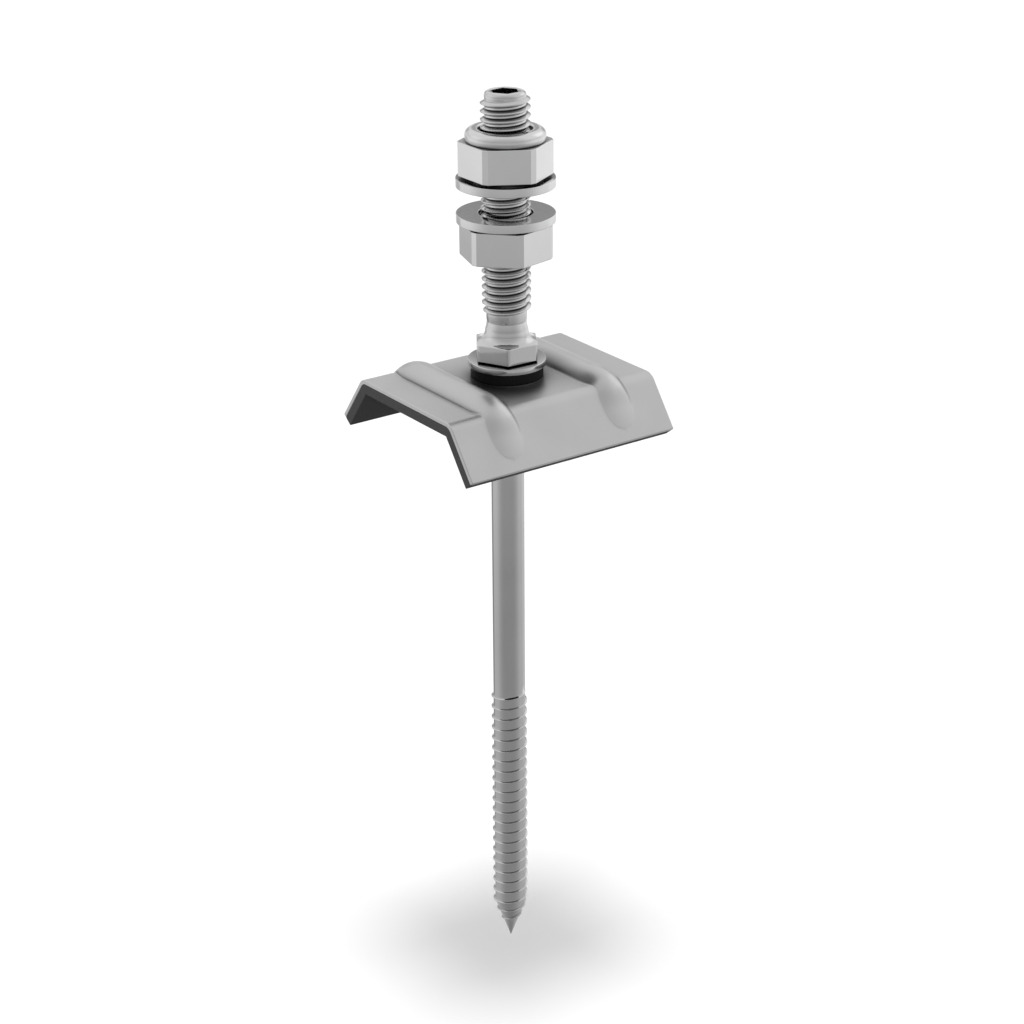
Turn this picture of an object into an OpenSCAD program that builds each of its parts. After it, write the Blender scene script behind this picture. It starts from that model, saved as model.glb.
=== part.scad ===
// Roof anchor for solar rails: a double-ended screw with a rubber-lined saddle,
// a sealing washer, and two nuts with washers that clamp a rail bracket.
// Millimetres. The origin is on the screw's axis, on the roof under the saddle,
// +Z points up along the screw and +X along the saddle's ridge.

/* [Screw] */
// Height of the screw's upper end above the roof
screw_top = 61.9; // [58:0.1:70]
// Length of the screw below the roof
screw_depth = 132; // [110:1:160]
// Major diameter of the machine thread
stud_d = 10; // [8:0.5:11]
// Diameter of the smooth lead-in at the upper end
lead_d = 8.4; // [6:0.1:9]
// Length of the smooth lead-in, with its rounded edge
lead_length = 1.7; // [1:0.1:3]
// Bevel around the screw's top face
end_bevel = 0.6; // [0.2:0.1:1]
// Width across flats of the drive socket in the top face
socket_flats = 5; // [3:0.5:6]
// Depth of the drive socket
socket_depth = 4.5; // [2:0.5:6]
// Turn of the drive socket about the axis
socket_turn = 5; // [0:1:59]
// Diameter of the screw at its neck, under the machine thread
neck_d = 8.1; // [6:0.1:9]
// Height above the hexagon collar at which the machine thread has run out
thread_clearance = 4.5; // [3:0.5:8]
// Length over which the machine thread runs out
thread_runout = 1.2; // [0.5:0.1:2]
// Diameter of the ridge where the neck flares out
flare_d = 8.8; // [7:0.1:10]
// Height of that ridge above the hexagon collar
flare_height = 2.4; // [1:0.1:4]

/* [Hexagon collar] */
// Width across flats of the hexagon collar
collar_flats = 12; // [11:0.5:16]
// Height of the hexagon collar
collar_height = 3.3; // [2:0.1:6]
// Bevel at the hexagon's corners
collar_bevel = 0.3; // [0.1:0.1:0.8]
// Turn of the hexagon collar about the axis
collar_turn = -2.6; // [-30:0.1:30]
// Diameter of the round boss under the hexagon collar
boss_d = 10; // [9:0.5:12]
// Height of that boss
boss_height = 0.85; // [0.3:0.05:2]

/* [Shank and wood thread] */
// Diameter of the plain shank
shank_d = 6.86; // [6:0.02:8]
// Depth below the roof of the first full turn of the wood thread
wood_start = 70.7; // [50:0.1:90]
// Diameter over the wood thread
wood_d = 7.76; // [7:0.02:9]
// Distance from one turn of the wood thread to the next
wood_pitch = 2.58; // [2:0.02:4]
// Length of the cone point
point_length = 9.6; // [6:0.1:14]
// Width of a turn of the wood thread at its foot
wood_foot = 0.8; // [0.5:0.05:1.2]
// Angle about the axis at which the wood thread's depth is counted
wood_turn = 144.8; // [0:0.1:360]

/* [Nuts] */
// Width across flats of both nuts
nut_flats = 17; // [15:0.5:19]
// Width across the bevels at the nuts' corners
nut_corners = 18.9; // [16:0.1:22]
// Height of the plain lower nut
lower_nut_height = 7.35; // [5:0.05:10]
// Height of the upper nut without its collar
upper_nut_height = 7.35; // [5:0.05:10]
// Bevel at the rims of the nuts
nut_bevel = 0.3; // [0.1:0.05:0.8]
// Height of the low round face on the nuts, where they meet the washers
nut_face_height = 0.45; // [0.1:0.05:0.6]
// Diameter of that low round face
nut_face_d = 15.4; // [13:0.1:17]
// Height of the lower nut's underside above the roof
lower_nut_z = 28.45; // [22:0.05:34]
// Turn of the lower nut about the axis
lower_nut_turn = 12.6; // [-30:0.1:30]
// Turn of the upper nut about the axis
upper_nut_turn = -30; // [-30:0.1:30]
// Running clearance between each nut and the screw, on the radius
nut_clearance = 0.05; // [0.02:0.01:0.1]

/* [Locking collar] */
// Diameter of the upper nut's round collar
lock_d = 16.2; // [14:0.1:17]
// Height of the collar above the hexagon
lock_height = 2.55; // [2:0.05:4]
// Height of the collar's straight side
lock_side = 0.9; // [0.4:0.1:1.5]
// Diameter of the collar's flat rim at the top
lock_rim_d = 13.2; // [12:0.1:14]
// Diameter of the collar's mouth
lock_mouth_d = 10.9; // [10.2:0.1:12]
// Wall of the collar around the locking insert
lock_wall = 1.2; // [0.8:0.1:2]
// Height of the locking insert
insert_height = 2.2; // [1.5:0.1:3]
// Thickness of the lip over the insert
lock_lip = 0.7; // [0.4:0.1:1]

/* [Washers] */
// Outer diameter of the two flat washers
washer_d = 20; // [16:0.5:24]
// Diameter of the hole in the flat washers
washer_hole_d = 11; // [10.5:0.1:12]
// Thickness of the flat washers
washer_t = 1.75; // [1:0.05:2.5]
// Gap between the two flat washers
clamp_gap = 5.45; // [2:0.05:12]

/* [Seal] */
// Diameter of the sealing washer's metal disc
disc_d = 16; // [14:0.5:20]
// Thickness of the metal disc
disc_t = 0.95; // [0.6:0.05:2]
// Diameter of the hole in the metal disc
disc_hole_d = 8; // [7.5:0.1:9]
// Diameter of the rubber ring
ring_d = 14.9; // [13:0.1:18]
// Thickness of the rubber ring
ring_t = 2.35; // [1:0.05:4]

/* [Saddle] */
// Length of the saddle along its ridge
saddle_length = 50; // [44:1:70]
// Width of the top between the two virtual fold corners
top_width = 32.2; // [28:0.1:40]
// Length of each leg, from the virtual fold corner to the foot
leg_length = 12.5; // [8:0.1:16]
// Fold angle of each leg below the top
fold_angle = 53; // [30:1:75]
// Outer radius of each fold
fold_radius = 3; // [2:0.1:5]
// Thickness of the saddle's sheet
sheet_t = 1; // [0.6:0.1:2]
// Thickness of the rubber lining
lining_t = 2; // [1:0.1:3]
// Diameter of the hole in the sheet
sheet_hole_d = 8; // [7.5:0.1:10]
// Diameter of the pressed-up seat under the seal
seat_d = 15; // [13:0.1:17]
// Height of that seat above the sheet
seat_height = 0.4; // [0.1:0.05:0.8]

/* [Beads] */
// Distance of each bead from the middle of the saddle
bead_offset = 13.8; // [12.5:0.1:17]
// Outer radius of a bead's section
bead_radius = 4.45; // [3.5:0.05:5]
// Height of a bead above the sheet
bead_height = 2.5; // [1.5:0.1:3]
// Half the length of a bead's straight part
bead_straight = 10.4; // [8:0.1:12]
// Radius of the arc on which a bead's ridge bends down at each end
bead_arc = 11.7; // [9:0.1:14]

/* [Hidden] */

// Length by which cutting bodies pass a face
cut = 1;
// Length by which two cutting bodies of one hole run into each other
overlap = 0.01;
// Facets of each rounded outline, per fold or quarter turn
arc_steps = 8;
// Facets of a full turn on the round parts and on the beads' tubes
round_facets = 96;
tube_facets = 64;
// Size of a body that is larger than the saddle, for trimming
far = 2 * saddle_length;

// Heights above the roof, from the roof up
sheet_top = lining_t + sheet_t;
ring_z = sheet_top + seat_height;
disc_z = ring_z + ring_t;
boss_z = disc_z + disc_t;
collar_z = boss_z + boss_height;
neck_z = collar_z + collar_height;
flare_z = neck_z + flare_height;
runout_z = neck_z + thread_clearance;
stud_z = runout_z + thread_runout;
lead_z = screw_top - lead_length;
lower_washer_z = lower_nut_z + lower_nut_height;
upper_washer_z = lower_washer_z + washer_t + clamp_gap;
upper_nut_z = upper_washer_z + washer_t;
lock_z = upper_nut_z + upper_nut_height;
lock_top = lock_z + lock_height;
insert_z = lock_top - lock_lip - insert_height;

// Diameters that follow from a fit
nut_bore_d = stud_d + 2 * nut_clearance;
insert_d = lock_d - 2 * lock_wall;
seat_recess_d = seat_d - 2 * sheet_t;

// Radius at which the hollow foot of the neck meets the hexagon collar
collar_foot_r = (collar_flats - collar_bevel) / 2;

// Drill cone at the bottom of the drive socket
socket_floor_z = screw_top - socket_depth;
socket_cone_d = socket_flats - 0.2;
socket_cone_depth = socket_flats / 4;

// Width across corners over the width across flats of a hexagon
corner_share = 1 / cos(30);

// Wood thread: its surface is a grid that climbs around the axis, with three rows
// to each turn (foot, crest, foot) and turn_steps points around
turn_steps = 16;
turn_rows = 3;
foot_share = wood_foot / wood_pitch;
// The core is a little under the shank, so that its first turns stay inside it
wood_core_d = shank_d - 0.06;
// Height over which the crest rises from the shank to its full height
wood_fade = 0.75 * wood_pitch;
wood_turns = floor((screw_depth - wood_start - wood_foot) / wood_pitch);
wood_rows = turn_rows * (wood_turns + 2);
wood_z = -wood_start - wood_turns * wood_pitch - wood_foot / 2;

// Corner of the saddle's section, for a layer that lies the depth d under the outside
function corner_y(d) = top_width / 2 - d * tan(fold_angle / 2);

// Foot of a leg of that layer
function foot_point(d) = [
    top_width / 2 + leg_length * cos(fold_angle) - d * sin(fold_angle),
    sheet_top - leg_length * sin(fold_angle) - d * cos(fold_angle)
];

// Rounded fold of that layer with the radius r, from the top down to the leg
function fold_points(d, r) = [
    for (i = [0 : arc_steps])
        let (a = 90 - fold_angle * i / arc_steps)
        [corner_y(d) - r * tan(fold_angle / 2) + r * cos(a), sheet_top - d - r + r * sin(a)]
];

// Right half of a layer's surface, with a rounded or a sharp fold
function half_layer(d, r) = concat(
    r > 0 ? fold_points(d, r) : [[corner_y(d), sheet_top - d]],
    [foot_point(d)]
);

function reversed(points) = [for (i = [len(points) - 1 : -1 : 0]) points[i]];

function mirrored(points) = [for (p = points) [-p[0], p[1]]];

// Whole surface of a layer, from the left foot over the top to the right foot
function layer_line(d, r) = concat(reversed(mirrored(half_layer(d, r))), half_layer(d, r));

// Quarter of an ellipse that rounds an outer rim, from its side to its top
function rounded_rim(r_side, z_side, r_top, z_top) = [
    for (i = [0 : arc_steps])
        let (a = 90 * i / arc_steps)
        [r_top + (r_side - r_top) * cos(a), z_side + (z_top - z_side) * sin(a)]
];

// Hollow quarter of an ellipse from a stem down to a flange
function hollow_foot(r_stem, z_stem, r_flange, z_flange) = [
    for (i = [0 : arc_steps])
        let (a = 90 * i / arc_steps)
        [r_flange - (r_flange - r_stem) * cos(a), z_stem - (z_stem - z_flange) * sin(a)]
];

// Radius of the screw's core at a height in the wood thread
function core_radius(z) = wood_core_d / 2 * min(1, (z + screw_depth) / point_length);

// Height of the wood thread's crest over the core at a height
function crest_height(z) = (wood_d - wood_core_d) / 2
    * min(1, max(0, (wood_fade - wood_start - z) / wood_fade))
    * min(1, (z + screw_depth) / point_length);

// Point of the wood thread's surface in a row, a number of steps around
function wood_point(row, step) =
    let (
        part = row % turn_rows,
        z = wood_z + wood_pitch * (floor(row / turn_rows) + foot_share * part / 2 + step / turn_steps),
        r = core_radius(z) + (part == 1 ? crest_height(z) : 0),
        a = wood_turn + 360 * step / turn_steps
    )
    [r * cos(a), r * sin(a), z];

// Number of that point, where a full turn leads on to the next turn's row
function wood_index(row, step) = step < turn_steps
    ? row * turn_steps + step
    : wood_index(row + turn_rows, step - turn_steps);

// Prism with a hexagon section, across flats
module hexagon(flats, height) {
    cylinder(d = flats * corner_share, h = height, $fn = 6);
}

// Round body with its rims bevelled
module bevelled_disc(d, height, bevel) {
    rotate_extrude($fn = round_facets)
        polygon([
            [0, 0],
            [d / 2 - bevel, 0],
            [d / 2, bevel],
            [d / 2, height - bevel],
            [d / 2 - bevel, height],
            [0, height]
        ]);
}

// Flat ring
module ring(d, hole_d, height) {
    difference() {
        cylinder(d = d, h = height, $fn = round_facets);
        translate([0, 0, -cut])
            cylinder(d = hole_d, h = height + 2 * cut, $fn = round_facets);
    }
}

// Hexagon of a nut, with flat bevels at its corners and broken rims
module nut_blank(height) {
    intersection() {
        hexagon(nut_flats, height);
        rotate(30)
            hexagon(nut_corners, height);
        bevelled_disc(nut_corners + nut_bevel, height, nut_bevel);
    }
}

// Stud, lead-in, neck and flare, down to the top of the hexagon collar
module turned_stud() {
    rotate_extrude($fn = round_facets)
        polygon(concat(
            [
                [0, collar_z],
                [0, screw_top],
                [lead_d / 2 - end_bevel, screw_top],
                [lead_d / 2, screw_top - end_bevel],
                [lead_d / 2, lead_z],
                [stud_d / 2, lead_z - (stud_d - lead_d) / 4],
                [stud_d / 2, stud_z],
                [neck_d / 2, runout_z],
                [neck_d / 2, flare_z + flare_height / 2]
            ],
            hollow_foot(flare_d / 2, flare_z, collar_foot_r, neck_z),
            [[collar_foot_r, collar_z]]
        ));
}

module drive_socket() {
    translate([0, 0, socket_floor_z])
        rotate(socket_turn)
            hexagon(socket_flats, socket_depth + cut);
    translate([0, 0, socket_floor_z - socket_cone_depth])
        cylinder(d1 = 0, d2 = socket_cone_d, h = socket_cone_depth + overlap, $fn = round_facets / 2);
}

// Hexagon collar with arched corners, over its round boss
module hexagon_collar() {
    translate([0, 0, collar_z])
        intersection() {
            rotate(collar_turn)
                hexagon(collar_flats, collar_height);
            bevelled_disc(collar_flats * corner_share, collar_height, collar_bevel);
        }
    translate([0, 0, boss_z])
        cylinder(d = boss_d, h = boss_height, $fn = round_facets);
}

// Threaded lower end with its cone point
module wood_thread() {
    root_z = wood_z + wood_pitch * (wood_turns + 2.5);
    points = concat(
        [for (row = [0 : wood_rows]) for (step = [0 : turn_steps - 1]) wood_point(row, step)],
        [[0, 0, -screw_depth], [0, 0, root_z]]
    );
    tip = len(points) - 2;
    root = len(points) - 1;
    last = turn_steps - 1;
    sides = [
        for (row = [0 : wood_rows - 1])
            for (step = [0 : last - (row + turn_rows < wood_rows ? 0 : 1)])
                let (
                    a = wood_index(row, step),
                    b = wood_index(row + 1, step),
                    c = wood_index(row + 1, step + 1),
                    d = wood_index(row, step + 1)
                )
                each [[a, b, c], [a, c, d]]
    ];
    low_edge = concat(
        [for (step = [0 : last]) wood_index(0, step)],
        [for (row = [turn_rows : -1 : 0]) wood_index(row, 0)]
    );
    high_edge = concat(
        [for (step = [0 : last]) wood_index(wood_rows, step)],
        [for (row = [1 : turn_rows]) wood_index(wood_rows - row, last)],
        [wood_index(wood_rows, 0)]
    );
    low_faces = [for (i = [0 : len(low_edge) - 2]) [tip, low_edge[i], low_edge[i + 1]]];
    high_faces = [for (i = [0 : len(high_edge) - 2]) [root, high_edge[i + 1], high_edge[i]]];
    polyhedron(points, concat(sides, low_faces, high_faces));
}

module hanger_bolt() {
    color("gainsboro") {
        difference() {
            turned_stud();
            drive_socket();
        }
        hexagon_collar();
        translate([0, 0, wood_fade - wood_start])
            cylinder(d = shank_d, h = wood_start - wood_fade + boss_z + cut / 2, $fn = round_facets);
        wood_thread();
    }
}

module lower_nut() {
    color("silver")
        translate([0, 0, lower_nut_z])
            difference() {
                union() {
                    rotate(lower_nut_turn)
                        nut_blank(lower_nut_height - nut_face_height);
                    cylinder(d = nut_face_d, h = lower_nut_height, $fn = round_facets);
                }
                translate([0, 0, -cut])
                    cylinder(d = nut_bore_d, h = lower_nut_height + 2 * cut, $fn = round_facets);
            }
}

module lower_washer() {
    color("lightgray")
        translate([0, 0, lower_washer_z])
            ring(washer_d, washer_hole_d, washer_t);
}

module upper_washer() {
    color("lightgray")
        translate([0, 0, upper_washer_z])
            ring(washer_d, washer_hole_d, washer_t);
}

// Round collar of the lock nut
module lock_collar() {
    rotate_extrude($fn = round_facets)
        polygon(concat(
            [[0, lock_z - cut], [lock_d / 2, lock_z - cut]],
            rounded_rim(lock_d / 2, lock_z + lock_side, lock_rim_d / 2, lock_top),
            [[0, lock_top]]
        ));
}

module upper_nut() {
    color("silver")
        difference() {
            union() {
                translate([0, 0, upper_nut_z + nut_face_height])
                    rotate(upper_nut_turn)
                        nut_blank(upper_nut_height - nut_face_height);
                translate([0, 0, upper_nut_z])
                    cylinder(d = nut_face_d, h = upper_nut_height, $fn = round_facets);
                lock_collar();
            }
            translate([0, 0, upper_nut_z - cut])
                cylinder(d = nut_bore_d, h = insert_z - upper_nut_z + cut + overlap, $fn = round_facets);
            translate([0, 0, insert_z])
                cylinder(d = insert_d, h = insert_height, $fn = round_facets);
            translate([0, 0, insert_z])
                cylinder(d = lock_mouth_d, h = lock_top - insert_z + cut, $fn = round_facets);
        }
}

module locking_insert() {
    color("dimgray")
        translate([0, 0, insert_z])
            ring(insert_d, nut_bore_d, insert_height);
}

module seal_washer() {
    color("gainsboro")
        translate([0, 0, disc_z])
            ring(disc_d, disc_hole_d, disc_t);
}

module seal_ring() {
    color("#1a1a1a")
        translate([0, 0, ring_z])
            ring(ring_d, shank_d, ring_t);
}

// One bead's tube of the radius r: straight in the middle, bent down at both ends
module bead_tube(r) {
    centre_z = sheet_top + bead_height - bead_radius;
    bend = bead_arc - bead_radius;
    translate([0, 0, centre_z])
        rotate([90, 0, 0])
            cylinder(r = r, h = 2 * bead_straight, center = true, $fn = tube_facets);
    for (side = [0, 1])
        mirror([0, side, 0])
            translate([0, bead_straight, centre_z - bend])
                rotate([90, 0, 90])
                    rotate_extrude(angle = 90, $fn = tube_facets)
                        translate([bend, 0])
                            circle(r = r, $fn = tube_facets);
}

// Everything outside the inner face of the saddle's sheet
module outside_of_sheet() {
    rotate([90, 0, 90])
        linear_extrude(height = far, center = true)
            polygon(concat(
                [[-far, -far], [-far, far], [far, far], [far, -far]],
                [foot_point(sheet_t) + [0, -cut]],
                reversed(layer_line(sheet_t, fold_radius - sheet_t)),
                [[-foot_point(sheet_t)[0], foot_point(sheet_t)[1] - cut]]
            ));
}

module saddle() {
    color("silver")
        difference() {
            union() {
                rotate([90, 0, 90])
                    linear_extrude(height = saddle_length, center = true)
                        polygon(concat(
                            layer_line(0, fold_radius),
                            reversed(layer_line(sheet_t, fold_radius - sheet_t))
                        ));
                for (side = [-1, 1])
                    intersection() {
                        translate([side * bead_offset, 0, 0])
                            bead_tube(bead_radius);
                        outside_of_sheet();
                    }
                translate([0, 0, lining_t])
                    cylinder(d = seat_d, h = sheet_t + seat_height, $fn = round_facets);
            }
            for (side = [-1, 1])
                translate([side * bead_offset, 0, 0])
                    bead_tube(bead_radius - sheet_t);
            translate([0, 0, lining_t - cut])
                cylinder(d = seat_recess_d, h = seat_height + cut, $fn = round_facets);
            translate([0, 0, -cut])
                cylinder(d = sheet_hole_d, h = sheet_top + seat_height + 2 * cut, $fn = round_facets);
        }
}

module saddle_lining() {
    color("#2b2b2b")
        difference() {
            rotate([90, 0, 90])
                linear_extrude(height = saddle_length, center = true)
                    polygon(concat(
                        layer_line(sheet_t, fold_radius - sheet_t),
                        reversed(layer_line(sheet_t + lining_t, 0))
                    ));
            translate([0, 0, -cut])
                cylinder(d = shank_d, h = lining_t + 2 * cut, $fn = round_facets);
        }
}

hanger_bolt();
lower_nut();
lower_washer();
upper_washer();
upper_nut();
locking_insert();
seal_washer();
seal_ring();
saddle();
saddle_lining();
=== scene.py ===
"""Looks of a solar hanger bolt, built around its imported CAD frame."""

import math

import bmesh
import bpy
from mathutils import Matrix, Vector


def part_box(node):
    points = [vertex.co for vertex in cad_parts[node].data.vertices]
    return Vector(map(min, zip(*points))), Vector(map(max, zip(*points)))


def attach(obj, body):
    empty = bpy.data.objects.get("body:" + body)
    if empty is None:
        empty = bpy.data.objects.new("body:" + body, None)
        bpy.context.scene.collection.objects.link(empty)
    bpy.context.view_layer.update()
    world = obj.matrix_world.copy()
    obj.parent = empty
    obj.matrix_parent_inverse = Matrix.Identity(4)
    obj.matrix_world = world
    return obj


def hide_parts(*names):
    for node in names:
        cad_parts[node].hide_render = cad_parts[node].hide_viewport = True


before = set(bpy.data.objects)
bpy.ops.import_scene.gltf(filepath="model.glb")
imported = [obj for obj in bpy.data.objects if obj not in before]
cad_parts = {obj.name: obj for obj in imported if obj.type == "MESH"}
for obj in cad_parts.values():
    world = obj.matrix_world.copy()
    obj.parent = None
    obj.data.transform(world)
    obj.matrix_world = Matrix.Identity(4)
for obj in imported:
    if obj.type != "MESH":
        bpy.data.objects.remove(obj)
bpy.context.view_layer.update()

MM = 0.001
TAU = 2 * math.pi


def node_box(node):
    """Lowest and highest corner of a CAD node, in millimetres."""
    low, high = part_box(node)
    return low / MM, high / MM


def node_span(node):
    """Lowest and highest point of a CAD node along the screw, in millimetres."""
    low, high = node_box(node)
    return low.z, high.z


# Heights and radii of the CAD nodes, in millimetres like all sizes below
SCREW_TIP, SCREW_TOP = node_span("hanger_bolt")
LOWER_NUT_Z, LOWER_WASHER_Z = node_span("lower_nut")
UPPER_NUT_Z, LOCK_TOP = node_span("upper_nut")
INSERT_Z, INSERT_TOP = node_span("locking_insert")
RING_Z, DISC_Z = node_span("seal_ring")
# The disc is drawn a little higher than its plain solid
DISC_RISE = 0.35
DISC_TOP = node_span("seal_washer")[1] + DISC_RISE
WASHER_R = node_box("lower_washer")[1].x
DISC_R = node_box("seal_washer")[1].x
RING_R = node_box("seal_ring")[1].x
INSERT_R = node_box("locking_insert")[1].x
SADDLE_END = node_box("saddle")[1].x

# Meshes: points nearer than MERGE are joined, and edges over an angle stay sharp
MERGE = 0.002
SHARP_ANGLE = math.radians(28)
SCREW_SHARP_ANGLE = math.radians(32)
EDGE_STEPS = 3

# Screw, from the top down
SOCKET_FLATS = 5.0
SOCKET_DEPTH = 4.5
SOCKET_TURN = math.radians(5)
SOCKET_EDGE = 0.12
SOCKET_FLOOR_R = SOCKET_FLATS / 2 - 0.15
SOCKET_CONE = SOCKET_FLATS / 4
FACE_R = 3.35
FACE_FALL = 0.06
LEAD_R = 4.2
LEAD_ROUND = 0.85
RIM_Z = SCREW_TOP - 0.25
RIM_STEPS = 6
# Rings between the thread's last row and RIM_Z, as shares of the way
UNDER_RIM = (0.08, 0.2, 0.35, 0.5, 0.65, 0.8, 0.9, 1.0)
STUD_R = 5.0
STUD_ROOT_R = 4.15
# The turns lie this far apart in the picture; a nut climbs 1.5 mm a turn
STUD_PITCH = 1.624
STUD_PHASE = 0.45
STUD_LOW_Z = 16.25
STUD_LOW_FADE = 1.7
STUD_HIGH_Z = SCREW_TOP - 0.9
STUD_HIGH_FADE = 0.7
# Least room under the thread's first row and over its last one
STUD_LOW_GAP = 0.3
STUD_HIGH_GAP = 0.45
NECK_R = 4.05
NECK_Z = 15.2
NECK_END = 0.25
NECK_BOW = 1.8
NECK_STEPS = 8
FLARE_R = 4.4
FLARE_Z = 13.25
FLARE_ROUND = 0.16
FLARE_ROUND_R = FLARE_R - 0.02
NECK_FOOT_R = FLARE_R - 0.03
HEX_FLATS = 12.2
HEX_TURN = math.radians(-2.6)
HEX_TOP = 10.85
HEX_LOW = 7.3
HEX_EDGE = 0.13
FOOT_R = 6.75
FOOT_STEPS = 9
BOSS_R = 5.0
BOSS_EDGE = 0.12
SHANK_R = 3.43
SHANK_RINGS = (-60, -45, -30, -15, 0)
# Fillet under the boss: it starts under its bend and rises over it
FILLET_START = 0.6
FILLET_BEND = 0.1
FILLET_WIDTH = 0.4
FILLET_HEIGHT = 0.25
WOOD_R = 3.88
WOOD_PITCH = 2.57
WOOD_START = -70.55
WOOD_TURN = math.radians(144.8)
# Start and length of the thread's rise from the shank, and the room over it, in turns
WOOD_RISE_START = 0.54
WOOD_RISE = 0.22
WOOD_TOP_GAP = 1.1
# The thread's crest gets lower towards the tip, and the last bit over it is bare
TIP_CREST_SHARE = 0.6
TIP_BARE = 3.2
TIP_RISE = 1.4
POINT_LENGTH = 9.6
TIP_RING = 0.3
TIP_GAP = 0.05
# Half of the narrow edge at a hexagon's corners, and the steps along its sides
HEX_CORNER = math.radians(1.1)
HEX_STEPS = 16

# Nuts and washers
NUT_FLATS = 17.0
NUT_CORNERS = 18.9
NUT_STEPS = 12
LOWER_NUT_TURN = math.radians(12.6)
UPPER_NUT_TURN = math.radians(-30)
NUT_FACE_GAP = 0.42
NUT_FACE_R = 7.7
NUT_FACE_EDGE = 0.08
NUT_EDGE = 0.22
NUT_BORE_R = STUD_R + 0.05
NUT_BORE_BEVEL = 0.5
LOCK_Z = UPPER_NUT_Z + 7.35
LOCK_R = 8.1
LOCK_FOOT_R = 7.8
LOCK_BULGE_R = LOCK_FOOT_R - 0.05
LOCK_BULGE_STEPS = 6
LOCK_WIDEST = 1.15
LOCK_RIM_R = 6.5
LOCK_CROWN_STEPS = 10
LOCK_LIP = 0.35
LOCK_MOUTH_R = 5.45
INSERT_HOLE_R = STUD_R + 0.02
INSERT_EDGE = 0.1
WASHER_T = 1.75
WASHER_HOLE_R = 5.5
WASHER_EDGE = 0.14
RING_HOLE_R = SHANK_R + 0.01
RING_EDGE = 0.25
RING_STEPS = 120
DISC_HOLE_R = 4.0
DISC_BEVEL = 0.1
DISC_EDGE = 0.12
DISC_FALL = 0.04
DISC_FLAT_R = DISC_R - 2.0
DISC_SEAT_R = RING_R - 0.2
DISC_STEPS = 144

# Saddle
SHEET_T = 1.0
LINING_T = 2.0
SHEET_TOP = SHEET_T + LINING_T
FOLD_ANGLE = math.radians(53)
FOLD_R = 3.0
HALF_WIDTH = 16.1
LEG_LENGTH = 12.5
SHEET_EDGE = 0.16
SHEET_HOLE_R = 4.0
SEAT_R = 7.5
SEAT_FOOT_Z = LINING_T + 0.3
SEAT_STEPS = 144
PLUG_STEPS = 96
# How far a boolean's tool reaches past what it cuts
PLUG_REACH = 2
LINING_EDGE = 0.1
LINING_RINGS = (-15, -5, 5, 15)
LINING_FOLD_STEPS = 6
LINING_HOLE_R = SHANK_R + 0.02
# Steps along the section: over half the top, over a fold and down a leg
TOP_STEPS = 26
FOLD_STEPS = 10
LEG_STEPS = 26
# Steps across it: outside the beads, between them, over one (in degrees) and beside
# its foot
OUTER_STEPS = 6
MIDDLE_STEPS = 14
BEAD_STEP = 9
BESIDE_FOOT = (0.06, 0.14, 0.26, 0.42, 0.65, 1.0, 1.5)
# A bead narrower than WIDE_BEAD has its steps spread by EASED_WIDTH
WIDE_BEAD = 4
EASED_WIDTH = 0.6

# Beads, and how they fade: over LEG_FADE on the legs, beside their feet over FOOT_FADE
BEAD_X = 13.8
BEAD_R = 4.45
BEAD_HEIGHT = 2.5
BEAD_STRAIGHT = 10.4
BEAD_ARC = 11.7
BEAD_SHARP = 0.08
BEAD_SOFT = 0.55
BEAD_SLOPE = 2.0
BEAD_HALVINGS = 26
LEG_BEAD_SHARE = 0.3
LEG_FADE_START = HALF_WIDTH - 1.5
LEG_FADE = 7.0
FOOT_FADE = 2.5
# Run, up to a fold's corner, over which the top's creases turn into the legs'
FOLD_BLEND = 3.0

# Painted shade on the sheet, as widths and strengths: along the creases, and up the beads' inner
# feet, where it also paints the reflection of the dark seal
CREASE_WIDTH = 0.14
LEG_CREASE_WIDTH = 0.26
CREASE_SHADE_STRENGTH = 0.85
MARK_WIDTH = 1.6
MARK_NARROW = 0.4
MARK_OUTSIDE = 0.3
MARK_FAINT = 0.2
MARK_STRONG = 0.8
MARK_FULL_AT = HALF_WIDTH - 2
MARK_FADE_START = HALF_WIDTH - 1.9
MARK_FADE = 1.5


def place_in_scene(name, data):
    """New object of the scene."""
    item = bpy.data.objects.new(name, data)
    bpy.context.scene.collection.objects.link(item)
    return item


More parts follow.
